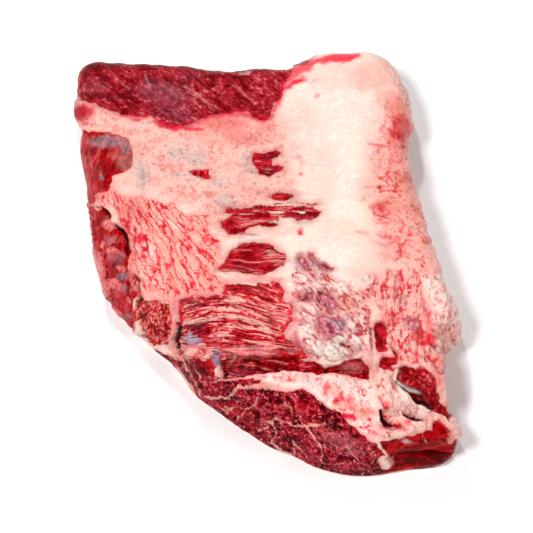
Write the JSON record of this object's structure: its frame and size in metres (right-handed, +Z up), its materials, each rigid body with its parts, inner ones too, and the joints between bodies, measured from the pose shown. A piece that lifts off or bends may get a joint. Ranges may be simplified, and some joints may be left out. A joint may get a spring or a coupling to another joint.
{
  "type": "raw beef brisket",
  "caption": "Whole boneless raw beef brisket, fat and deckle side up: a thick irregular slab of marbled red lean under a torn sheet of creamy fat, lying flat.",
  "frame": {"origin": "middle of the flat underside that lies on the table", "axes": "+X towards the thick fat edge, +Y along the long side from the cut face to the thin far end, +Z up"},
  "size_m": [0.3572, 0.428, 0.0728],
  "materials": {
    "raw_beef": "wet"
  },
  "bodies": {
    "root": {"brisket": "raw_beef"}
  },
  "joints": []
}
